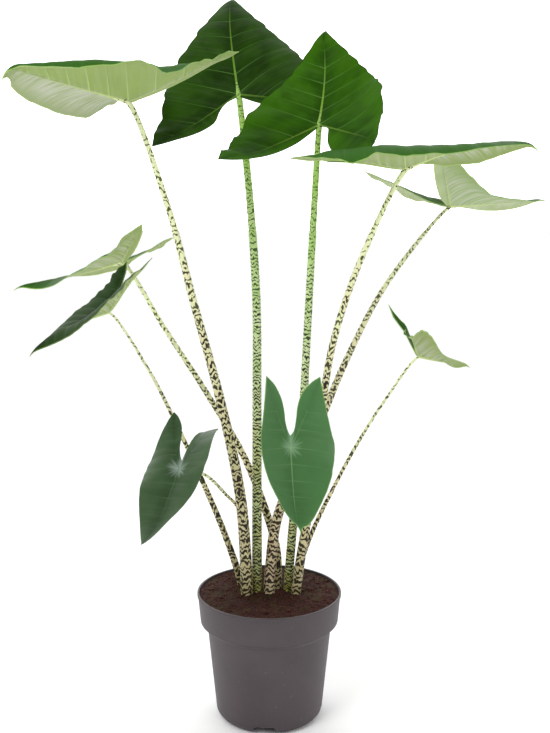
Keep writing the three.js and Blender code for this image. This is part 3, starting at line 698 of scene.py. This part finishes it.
def bend(leaf, x, flat_y, sign, raised):
    """Bends flat points of one half into place; raised is their height off the sheet."""
    half = leaf["left"] if sign < 0 else leaf["right"]
    y = np.where(flat_y < 0, flat_y * half.get("reach", 1), flat_y)
    w = x / leaf["width"]
    t = y / leaf["length"]
    slope = np.radians(half["fold"] + leaf["fold_change"] * np.clip(t, -0.7, 1)
                       + half["curl"] * w * w)
    wave = half["wave"] * w * w * np.cos(2 * np.pi * (t - half["phase"]))
    reached = np.where(y >= 0, t, y / leaf["lobe"])
    fade = 1 - np.abs(reached) ** 3
    start = 0 if sign < 0 else 2
    ripple = leaf["ripple"] * fade * w ** 3 * np.sin(2 * np.pi * RIPPLES * t + start)
    ripple += FINE_RIPPLE * fade * w ** 5 * np.sin(2 * np.pi * FINE_RIPPLES * t + 2 * start)
    shoulder = 1 - np.maximum(t, 0) ** SHOULDER
    edge = np.clip((w / np.maximum(shoulder, 0.01) - ROLL_START) / (1 - ROLL_START), 0, 1)
    front, back = half.get("rolled", (0, 0))
    from_gap = t - ROLL_GAP
    rolled = (np.where(from_gap > 0, front, back) * smoothstep(np.abs(from_gap), 0, ROLL_RISE)
              * fade * edge * edge)
    reach = x * np.cos(slope) * sign
    rounded = np.hypot(x, FOLD_ROUNDING) - FOLD_ROUNDING
    rise = rounded * np.sin(slope) + wave + ripple - rolled + raised
    twist = np.radians(leaf["twist"]) * t
    sideways = reach * np.cos(twist) + rise * np.sin(twist)
    up = rise * np.cos(twist) - reach * np.sin(twist)

    # the midrib droops towards its tip, and the lobes lift behind the petiole
    middle = (leaf["left"]["lift"] + leaf["right"]["lift"]) / 2
    lift = middle + smoothstep(w, 0, LIFT_BLEND) * (half["lift"] - middle)
    total = np.radians(np.where(y >= 0, leaf["droop"], -lift))
    lean = total * np.minimum(reached, HOOK_START) ** 2
    kept = np.minimum(y, HOOK_START * leaf["length"])
    hooked = np.maximum(0, (t - HOOK_START) / (1 - HOOK_START))
    bent = np.minimum(np.abs(reached), HOOK_START)
    tangent = np.clip(3 * total * bent * bent, -STEEPEST, STEEPEST)
    hook = math.radians(leaf["hook"])
    hook_turn = tangent + 0.6 * hook * hooked
    forward = kept * np.cos(lean) + (y - kept) * np.cos(hook_turn)
    height = kept * np.sin(lean) + (y - kept) * np.sin(hook_turn)
    pitch = tangent + hook * hooked
    return np.stack([sideways, forward - up * np.sin(pitch), height + up * np.cos(pitch)],
                    axis=-1)


def blade_axes(leaf):
    """The blade's right, forward and up, as the rows of a matrix."""
    heading, pitch, roll = (math.radians(leaf[k]) for k in ("heading", "pitch", "roll"))
    forward = np.array([math.cos(heading) * math.cos(pitch), math.sin(heading) * math.cos(pitch),
                        math.sin(pitch)])
    level = np.array([math.sin(heading), -math.cos(heading), 0])
    above = np.cross(level, forward)
    right = level * math.cos(roll) - above * math.sin(roll)
    up = above * math.cos(roll) + level * math.sin(roll)
    return np.array([right, forward, up])


def blade_lines(leaf, number):
    """The blade's rows, from its tip to the lobes' ends, and what is the same for both halves."""
    rib_points = lobe_rib(leaf)
    rib_length = curve_length(rib_points, 0)
    length = leaf["length"]
    total = length + rib_length
    front = [length * (1 - LATERAL_SPREAD * j / LATERALS) for j in range(LATERALS - 1, -1, -1)]
    lobe = [length + rib_length * j / LOBE_LATERALS for j in range(1, LOBE_LATERALS)]
    # rows crowd round each lateral
    laterals = np.array(front + lobe)
    stops = np.r_[0, laterals, total]
    rows = [a + (b - a) * place for a, b in zip(stops, stops[1:]) for place in ROW_PLACES]
    rows = np.array(rows + [total])
    ahead = rows <= length
    on_lobe = np.clip((rows - length) / rib_length, 0, 1)

    on_midrib = np.stack([np.zeros_like(rows), length - rows], axis=-1)
    spine = np.where(ahead[:, None], on_midrib, through(rib_points, on_lobe, 0))
    outer = through(outer_margin(leaf), rows / total, 0)
    # the margin swells between the ends of the laterals, by a different amount each time
    rng = np.random.default_rng(number + 3)
    stop = np.clip(np.searchsorted(stops, rows, side="right") - 1, 0, len(stops) - 2)
    part = (rows - stops[stop]) / (stops[stop + 1] - stops[stop])
    swell = leaf["scallop"] * rng.uniform(0.4, 1.6, len(stops))[stop]
    outward = outer - spine
    breadth = np.linalg.norm(outward, axis=1)
    swell = swell * np.sin(np.pi * part ** 1.5) * smoothstep(breadth, *SWELLING_BREADTHS)
    outer = outer + outward * (swell / np.maximum(breadth, 1))[:, None]

    # how strongly each rib and lateral stands out, weaker towards the tip and the lobe's end
    along = np.where(ahead, 1 - rows / length, (rows - length) / rib_length)
    narrow = ramp(breadth, *VEINED_BREADTHS)
    midrib_shown = 1.05 - along ** 0.9
    lobe_rib_shown = 0.5 * np.clip(1 - along, 0, 1) ** 1.5
    nearest_stop = np.argmin(np.abs(rows[:, None] - stops), axis=1)
    lateral_shown = rng.uniform(0.55, 1, len(stops) + 1)[nearest_stop]
    tip_half, foot_half = MIDRIB_HALF
    lobe_half, lobe_end_half = LOBE_RIB_HALF
    rib_half = np.where(ahead, tip_half + (foot_half - tip_half) * (rows / length),
                        lobe_half - (lobe_half - lobe_end_half) * (rows - length) / rib_length)
    return SimpleNamespace(
        rows=rows, spine=spine, outer=outer, narrow=narrow, on_lobe=on_lobe,
        from_junction=length - rows, first_lobe_row=int(np.argmin(np.abs(rows - length))),
        rib_shown=leaf["rib"] * np.where(ahead, midrib_shown, lobe_rib_shown) * narrow,
        lateral_shown=lateral_shown * (1 - 0.5 * along) * narrow,
        rib_half=leaf["rib"] * rib_half, interval=np.diff(stops).mean(),
        to_lateral=np.abs(rows[:, None] - laterals).min(axis=1))


def blade_patch(leaf, number, lines, sign, inside):
    """One half of the blade, from its ribs to the margin or, inside, to the lobes' gap."""
    edge, columns, start = lines.outer, BLADE_COLUMNS, 0
    if inside:
        edge = through(inner_margin(leaf, sign), lines.on_lobe, 0)
        columns, start = LOBE_COLUMNS, lines.first_lobe_row
    piece, column, row = patch_of(columns, len(lines.rows) - 1 - start, (sign > 0) != inside)
    row = row + start
    share = (1 - np.cos(np.pi * column / columns)) / 2
    flat = lines.spine[row] + (edge[row] - lines.spine[row]) * share[:, None]
    across = np.linalg.norm(edge - lines.spine, axis=1)[row]
    rib_half = lines.rib_half[row]
    to_lateral = lines.to_lateral[row]
    from_rib = share * across
    rib = from_rib / rib_half
    # a lateral narrows from the rib to the margin, and the inside of a lobe has none
    root_half, end_half = LATERAL_HALF
    lateral_half = end_half + (root_half - end_half) * (1 - share) ** 2
    lateral = to_lateral / lateral_half + (4 if inside else 0)
    inset = (1 - share) * across
    # the sheet arches between its laterals and dips along its ribs
    ends = np.minimum(1, inset / PUCKER_FROM_MARGIN) * np.minimum(1, from_rib / PUCKER_FROM_RIB)
    arch = np.sin(np.pi * np.clip(to_lateral / lines.interval, 0, 0.5)) * (0 if inside else 1)
    raised = BLADE_TOP + PUCKER * arch * ends - RIB_GROOVE * rib_half * np.exp(-rib ** 2)
    place = bend(leaf, flat[:, 0], flat[:, 1], sign, raised)
    set_places(piece, place @ blade_axes(leaf) + np.array(leaf["junction"]))

    fading = lines.lateral_shown[row] * (0.25 + 0.75 * (1 - share) ** 0.7)
    set_vectors(piece, "veins", rib, lateral, inset)
    set_vectors(piece, "shown", lines.rib_shown[row], fading, share)
    set_vectors(piece, "lay", sign * from_rib * (-0.5 if inside else 1),
                lines.from_junction[row], np.full(len(row), LEAF_SPACING * number))
    # how thick the sheet is: round ribs beneath it, and low ridges along the laterals
    depth = 0.35 + 0.65 * rib_half / MIDRIB_HALF[1]
    round_rib = depth * np.sqrt(np.clip(1 - (rib / 1.15) ** 2, 0, 1))
    ridge = LATERAL_RIDGE * np.clip(1 - lateral / 1.6, 0, 1) * np.minimum(1, inset / 12)
    weight = np.maximum(round_rib, ridge) * lines.narrow[row] * ramp(across, *RIDGED_BREADTHS)
    group = piece.vertex_groups.new(name="ribs")
    for i, value in enumerate(weight):
        if value > 0.001:
            group.add([i], float(value), "REPLACE")
    return piece


def blade(leaf, number, skins):
    """A sheet that is thickened beneath, most along its ribs."""
    lines = blade_lines(leaf, number)
    parts = [blade_patch(leaf, number, lines, sign, inside)
             for sign in (1, -1) for inside in (False, True)]
    piece = join(parts, f"leaf_blade_{leaf['name']}")
    cover(piece, *skins)
    edit(partial(bpy.ops.mesh.remove_doubles, threshold=BLADE_MERGE * MM))
    apply_modifier(piece, "SOLIDIFY", thickness=RIB_DEPTH * MM, offset=-1, vertex_group="ribs",
                   thickness_vertex_group=BLADE_EDGE / RIB_DEPTH, material_offset=1,
                   material_offset_rim=2)
    piece.vertex_groups.clear()
    smooth(piece, LEAF_CREASE)
    return piece


def petiole(leaf, number):
    """The petiole runs on under the blade for a little, where it turns into the midrib."""
    axes = blade_axes(leaf)
    foot_radius, top_radius = leaf["radii"]
    points = [np.array(p, float) for p in leaf["stalk"]]
    junction = np.array(leaf["junction"], float)
    # where the blade runs on behind the junction, the petiole's end stays further under it
    share = 1.35 if leaf["gap"] > 10 else 0.55
    under = axes[2] * (BLADE_TOP + share * top_radius)
    points.append(junction - under * 0.9 - axes[1] * 0.5)
    for y, depth in ENDS_UNDER_BLADE:
        along = bend(leaf, np.array([0.0]), np.array([float(y)]), 1, 0)[0] @ axes + junction
        points.append(along - axes[2] * (BLADE_TOP + 0.4 + depth))
    length = curve_length(points)
    bare = curve_length(points[:-len(ENDS_UNDER_BLADE)])
    count = int(length / PETIOLE_STEP)
    piece, column, row = patch_of(PETIOLE_SIDES, count, False)
    line = through(points, np.linspace(0, 1, count + 1))
    tangent = np.gradient(line, axis=0)
    tangent /= np.linalg.norm(tangent, axis=1)[:, None]
    front = np.cross(tangent, [1, 0, 0])
    front /= np.linalg.norm(front, axis=1)[:, None]
    side = np.cross(tangent, front)
    turn = 2 * np.pi * column / PETIOLE_SIDES
    height = row / count * length
    climbed = np.clip(height / bare, 0, 1)
    radius = top_radius + (foot_radius - top_radius) * (1 - climbed) ** leaf["taper"]
    # low lengthwise ribs, a slight swelling under the blade, then a quick taper into the midrib
    radius *= 1 + PETIOLE_RIB * np.sin(PETIOLE_RIBS * turn + number) * (1 - climbed * 0.5)
    radius *= 1 + SWELLING * np.exp(-((height - bare) / SWELLING_LENGTH) ** 2)
    radius *= 1 - END_TAPER * ramp(height, bare, length)
    x, y = radius * np.cos(turn), radius * np.sin(turn)
    set_places(piece, line[row] + side[row] * x[:, None] + front[row] * y[:, None])
    set_vectors(piece, "straight", x + PETIOLE_SPACING * number, y, height)
    near, far = PETIOLE_FINISHES[leaf["petiole"]]["spacing"]
    spacing = near + (far - near) * np.linspace(0, 1, count + 1)
    counted = np.r_[0, np.cumsum(length / count / spacing[1:])]
    set_vectors(piece, "bands", counted[row], climbed, np.zeros(len(row)))
    piece.name = f"petiole_{leaf['name']}"
    piece.data.name = piece.name
    edit(partial(bpy.ops.mesh.remove_doubles, threshold=MERGE * MM),
         partial(bpy.ops.mesh.fill_holes, sides=0),
         partial(bpy.ops.mesh.normals_make_consistent, inside=False))
    smooth(piece, LEAF_CREASE)
    return piece


def soil_height(x, y):
    r = np.hypot(x, y) / RIM_RADIUS
    lumps = np.sin(x * 0.11 + 1) * np.cos(y * 0.13) + 0.6 * np.sin(x * 0.05 - y * 0.19)
    crown = SOIL_CROWN * (1 - r * r) - SOIL_EDGE_DROP
    return SOIL_HEIGHT + crown + SOIL_LUMP * lumps * (1 - r ** 6)


def arc(centre, radius, start, end, steps=5):
    """Points round a centre, from one angle in degrees to the other."""
    angles = np.radians(np.linspace(start, end, steps))
    return [(centre[0] + radius * math.cos(a), centre[1] + radius * math.sin(a)) for a in angles]


def foot_arc(inset):
    """The rounding of the foot, so far inside the pot's outside."""
    centre = (BODY_FOOT_RADIUS - FOOT_ROUNDING, FOOT_ROUNDING)
    return arc(centre, FOOT_ROUNDING - inset, -90, 0, 9)


def pot_profile():
    collar = POT_HEIGHT - COLLAR_HEIGHT
    neck = collar - NECK_DROP
    outside = [(0, 0), *foot_arc(0),
               *arc((BODY_TOP_RADIUS + NECK_ROUNDING, neck - 1), NECK_ROUNDING, 180, 135, 4),
               *arc((BODY_TOP_RADIUS + NECK_STEP - NECK_ROUNDING, neck + NECK_STEP + 1),
                    NECK_ROUNDING, -45, 0, 4),
               (BODY_TOP_RADIUS + NECK_STEP + 0.1, collar - 1),
               *arc((COLLAR_FOOT_RADIUS - 1, collar), 1, -90, 0),
               (RIM_RADIUS - RIM_BEAD, POT_HEIGHT - RIM_BEAD_HEIGHT - 1),
               *arc((RIM_RADIUS - BEAD_ROUNDING, POT_HEIGHT - RIM_BEAD_HEIGHT), BEAD_ROUNDING,
                    -60, 0, 3),
               *arc((RIM_RADIUS - 1, POT_HEIGHT - 1), 1, 0, 90)]
    inside = [(0, WALL), *foot_arc(WALL),
              (BODY_TOP_RADIUS - WALL, neck),
              (BODY_TOP_RADIUS + NECK_STEP - WALL, neck + NECK_STEP + 1),
              (COLLAR_FOOT_RADIUS - WALL, collar + 2),
              (RIM_RADIUS - RIM_BEAD - WALL, POT_HEIGHT - 3),
              *arc((RIM_RADIUS - RIM_BEAD - WALL + BEAD_ROUNDING, POT_HEIGHT - BEAD_ROUNDING),
                   BEAD_ROUNDING, 180, 90, 3)]
    return outside + inside[::-1]


def turned(name, profile, steps):
    """A closed profile spun round the pot's axis."""
    mesh = bpy.data.meshes.new(name)
    corners = [(r * MM, 0, z * MM) for r, z in profile]
    mesh.from_pydata(corners, [(i, i + 1) for i in range(len(corners) - 1)], [])
    piece = bpy.data.objects.new(name, mesh)
    bpy.context.scene.collection.objects.link(piece)
    activate(piece)
    edit(partial(bpy.ops.mesh.spin, steps=steps, angle=2 * math.pi, center=(0, 0, 0),
                 axis=(0, 0, 1)),
         partial(bpy.ops.mesh.select_all, action="SELECT"),
         partial(bpy.ops.mesh.remove_doubles, threshold=MERGE * MM),
         partial(bpy.ops.mesh.normals_make_consistent, inside=False))
    return piece


def channel_turn(i):
    return math.radians(CHANNEL_TURN + i * 360 / CHANNEL_COUNT)


def channel(i, grow, start):
    """One radial channel under the floor, as a bar with sloping sides."""
    bpy.ops.mesh.primitive_cube_add(size=1)
    bar = bpy.context.active_object
    for vertex in bar.data.vertices:
        top = vertex.co.z > 0
        width = (CHANNEL_ROOF_WIDTH if top else CHANNEL_FOOT_WIDTH) + 2 * grow
        vertex.co.x *= width * MM
        vertex.co.y = -(RIM_RADIUS if vertex.co.y < 0 else start) * MM
        vertex.co.z = ((CHANNEL_DEPTH + grow) if top else -1) * MM
    bar.rotation_euler = (0, 0, channel_turn(i))
    bpy.ops.object.transform_apply(location=True, rotation=True, scale=True)
    return bar


def combine(piece, other, operation):
    apply_modifier(piece, "BOOLEAN", object=other, operation=operation, solver="MANIFOLD")
    bpy.data.objects.remove(other)


def pot():
    piece = turned("pot_shell", pot_profile(), POT_STEPS)
    neck = POT_HEIGHT - COLLAR_HEIGHT - NECK_DROP
    # the roofs end inside the floor and the wall, half way through the plastic
    half = WALL / 2
    hull = turned("pot_hull", [(0, half), *foot_arc(half), (BODY_TOP_RADIUS - half, neck),
                               (0, neck)], POT_STEPS)
    for i in range(CHANNEL_COUNT):
        roof = channel(i, WALL, CHANNEL_START - WALL)
        apply_modifier(roof, "BOOLEAN", object=hull, operation="INTERSECT", solver="MANIFOLD")
        combine(piece, roof, "UNION")
    bpy.data.objects.remove(hull)
    for i in range(CHANNEL_COUNT):
        combine(piece, channel(i, 0, CHANNEL_START), "DIFFERENCE")
        place = (DRAIN_PLACE * MM * math.sin(channel_turn(i)),
                 -DRAIN_PLACE * MM * math.cos(channel_turn(i)), CHANNEL_DEPTH * MM)
        bpy.ops.mesh.primitive_cylinder_add(vertices=24, radius=DRAIN_RADIUS * MM,
                                            depth=3 * CHANNEL_DEPTH * MM, location=place)
        combine(piece, bpy.context.active_object, "DIFFERENCE")
    smooth(piece, POT_CREASE)
    return piece


def collar_inside(z):
    """Radius of the pot's inside at a height of its collar."""
    part = (z - (POT_HEIGHT - COLLAR_HEIGHT)) / COLLAR_HEIGHT
    return COLLAR_FOOT_RADIUS + (RIM_RADIUS - RIM_BEAD - COLLAR_FOOT_RADIUS) * part - WALL


def soil():
    """The soil's top as a fine disc with a skirt down inside the pot."""
    edge = SOIL_HEIGHT - SOIL_EDGE_DROP
    radius = collar_inside(edge) - 0.1
    low = edge - SOIL_DEPTH
    profile = [(0, low), (collar_inside(low) - 0.6, low)]
    profile += [(radius * (1 - i / SOIL_RINGS), edge) for i in range(SOIL_RINGS + 1)]
    piece = turned("potting_soil", profile, SOIL_STEPS)
    co = places_of(piece) / MM
    top = co[:, 2] > edge - 0.5
    rng = np.random.default_rng(7)
    x, y = co[:, 0], co[:, 1]
    rough = np.zeros(len(co))
    for size, depth in SOIL_LAYERS:
        for _ in range(4):
            angle = rng.uniform(0, math.pi)
            phase = rng.uniform(0, 2 * math.pi, 2)
            u = x * math.cos(angle) + y * math.sin(angle)
            v = y * math.cos(angle) - x * math.sin(angle)
            rough += depth / 2.4 * (np.sin(2 * math.pi * u / size / 1.7 + phase[0])
                                    * np.sin(2 * math.pi * v / size / 1.7 + phase[1]))
    inward = ramp(radius - np.hypot(x, y), 0, SOIL_FADE)
    co[:, 2] = np.where(top, soil_height(x, y) + rough * (0.3 + 0.7 * inward), co[:, 2])
    set_places(piece, co)
    activate(piece)
    bpy.ops.object.shade_smooth()
    return piece


def crumbs():
    """Loose crumbs of peat and bark, each a small knobbly lump that is sunk in the soil."""
    random.seed(11)
    bpy.ops.mesh.primitive_ico_sphere_add(subdivisions=2, radius=1)
    pattern = bpy.context.active_object
    lump = places_of(pattern)
    pieces = []
    small, large = CRUMB_SIZES
    reach = collar_inside(SOIL_HEIGHT) - 3
    for _ in range(CRUMB_COUNT):
        copy = pattern.copy()
        copy.data = pattern.data.copy()
        bpy.context.scene.collection.objects.link(copy)
        r = reach * math.sqrt(random.random())
        turn = random.uniform(0, 2 * math.pi)
        x, y = r * math.cos(turn), r * math.sin(turn)
        size = small + (large - small) * random.random() ** 3
        stretch = np.array([random.uniform(*span) for span in ((0.7, 1.7), (0.7, 1.2), (0.5, 0.9))])
        waves = lump @ np.array([random.uniform(2, 4) for _ in range(3)]) + random.uniform(0, 6)
        knobs = 1 + CRUMB_KNOBS * np.sin(waves)
        shape = lump * knobs[:, None] * stretch * size
        spin = random.uniform(0, 2 * math.pi)
        turned_x = shape[:, 0] * math.cos(spin) - shape[:, 1] * math.sin(spin)
        turned_y = shape[:, 0] * math.sin(spin) + shape[:, 1] * math.cos(spin)
        top = float(soil_height(x, y)) + CRUMB_RAISED * size
        set_places(copy, np.stack([turned_x + x, turned_y + y, shape[:, 2] + top], axis=-1))
        pieces.append(copy)
    bpy.data.objects.remove(pattern)
    piece = join(pieces, "soil_crumbs")
    bpy.ops.object.shade_smooth()
    return piece


def make_camera():
    data = bpy.data.cameras.new("camera")
    camera = bpy.data.objects.new("camera", data)
    bpy.context.scene.collection.objects.link(camera)
    camera.location = CAMERA_PLACE
    camera.rotation_euler = (math.pi / 2 - CAMERA_TILT, 0, 0)
    data.sensor_fit = "VERTICAL"
    data.sensor_height = SENSOR
    data.lens = FOCAL_LENGTH / PICTURE_HEIGHT * SENSOR
    bpy.context.scene.camera = camera


def make_light(name, place, size, power):
    data = bpy.data.lights.new(name, "AREA")
    data.shape = "SQUARE"
    data.size = size
    data.energy = power
    lamp = bpy.data.objects.new(name, data)
    bpy.context.scene.collection.objects.link(lamp)
    lamp.location = place
    aim = Vector(LIGHT_AIM) - Vector(place)
    lamp.rotation_euler = aim.to_track_quat("-Z", "Y").to_euler()


def make_studio():
    bpy.context.scene.view_settings.view_transform = "Standard"
    bpy.ops.mesh.primitive_plane_add(size=FLOOR_SIZE)
    floor = bpy.context.active_object
    floor.name = "floor"
    material, node = blank_material("studio_floor")
    surface = node("BsdfPrincipled", {"Base Color": linear("#FFFFFF"), "Roughness": 0.95})
    node("OutputMaterial", {"Surface": surface})
    floor.data.materials.append(material)
    # a bright backdrop behind the plant, and a dimmer room in front of it
    world = bpy.data.worlds.new("studio")
    bpy.context.scene.world = world
    world.use_nodes = True
    world.node_tree.nodes.clear()
    node = partial(add, world.node_tree)
    direction = node("SeparateXYZ", {0: node("TexCoord").outputs["Generated"]})
    strength = node("MapRange", {0: direction.outputs["Y"], 1: -0.2, 2: 0.7, 3: 0.3, 4: 2.2},
                    interpolation_type="SMOOTHSTEP")
    sky = node("Background", {0: (1, 1, 1, 1), 1: strength})
    node("OutputWorld", {"Surface": sky})
    for name, (place, size, power) in LIGHTS.items():
        make_light(name, place, size, power)


make_camera()
make_studio()

pot_piece = pot()
cover(pot_piece, pot_plastic())
dress(pot_piece, "pot", "pot")
soil_piece = soil()
cover(soil_piece, peat("damp_peat", "#170807", "#4C251C", 0.4))
dress(soil_piece, "soil", "soil")
crumb_piece = crumbs()
cover(crumb_piece, peat("peat_crumbs", "#1E0C08", "#63382A", 0.2))
dress(crumb_piece, "soil")

petiole_skins = {name: petiole_skin(name, look) for name, look in PETIOLE_FINISHES.items()}
upper_faces = {name: upper_face(name, look) for name, look in BLADE_FINISHES.items()}
margin_skins = {name: margin_skin(name, look) for name, look in BLADE_FINISHES.items()}

for number, leaf in enumerate(LEAVES):
    name, stalk_look, blade_look = leaf["name"], leaf["petiole"], leaf["blade"]
    petiole_piece = petiole(leaf, number)
    cover(petiole_piece, petiole_skins[stalk_look])
    slot = "green_stalk" if stalk_look == "green" else "cream_stalk"
    dress(petiole_piece, slot, f"stalk_{name}")
    skins = [upper_faces[blade_look], underside(leaf), margin_skins[blade_look]]
    blade_piece = blade(leaf, number, skins)
    slot = "deep_green_blade" if blade_look in DARK_BLADES else "blade"
    dress(blade_piece, slot, f"blade_{name}")
